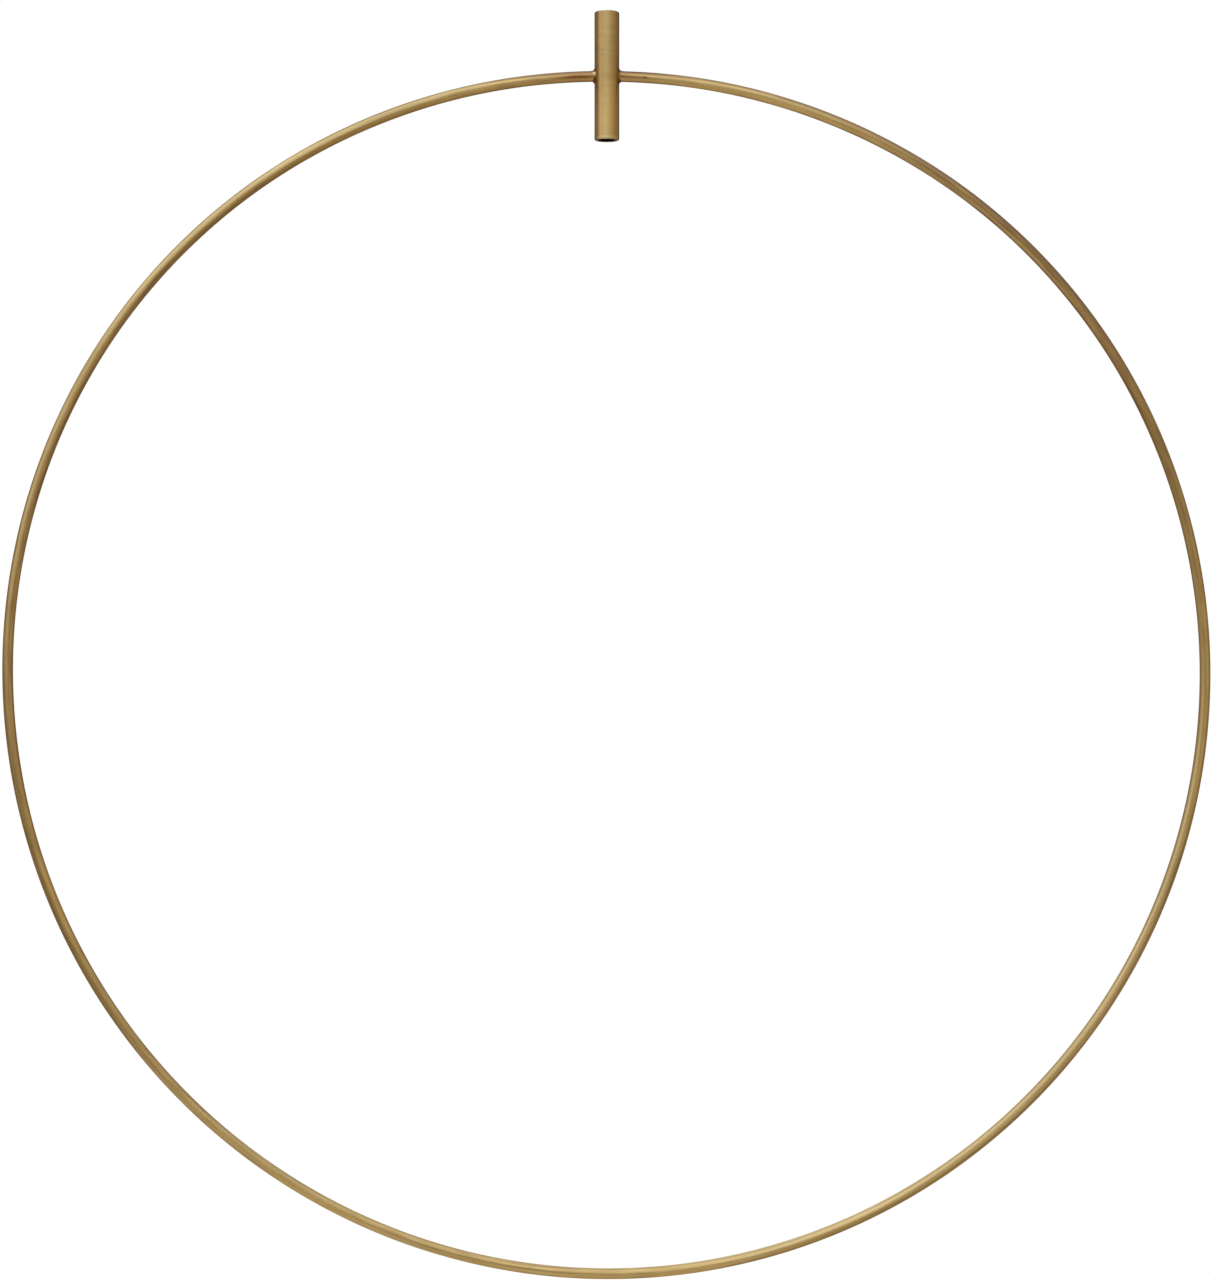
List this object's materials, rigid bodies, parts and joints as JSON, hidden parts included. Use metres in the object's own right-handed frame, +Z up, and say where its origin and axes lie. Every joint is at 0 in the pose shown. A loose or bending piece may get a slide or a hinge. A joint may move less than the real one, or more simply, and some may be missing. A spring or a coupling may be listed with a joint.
{
  "type": "wreath frame",
  "caption": "Round brass rod hoop whose ends are brazed into an upright open tube, hung on a cord that runs through the tube, to carry a wreath.",
  "frame": {"origin": "centre of the tube's top opening, where the cord that holds the frame leaves the bore", "axes": "+Z up along the tube and its bore; the hoop lies in the XZ plane; +Y through the hoop from front to back; +X to the right seen from the front"},
  "size_m": [0.68, 0.014, 0.713],
  "materials": {
    "tube_brass": "brushed round the tube, unlacquered, slightly dulled",
    "rod_brass": "satin, drawn along its length, polished beside the joints",
    "brazing_brass": "filed smooth and polished"
  },
  "bodies": {
    "root": {"hanging_tube": "tube_brass", "hoop": "rod_brass", "braze_left": "brazing_brass", "braze_right": "brazing_brass"}
  },
  "joints": []
}
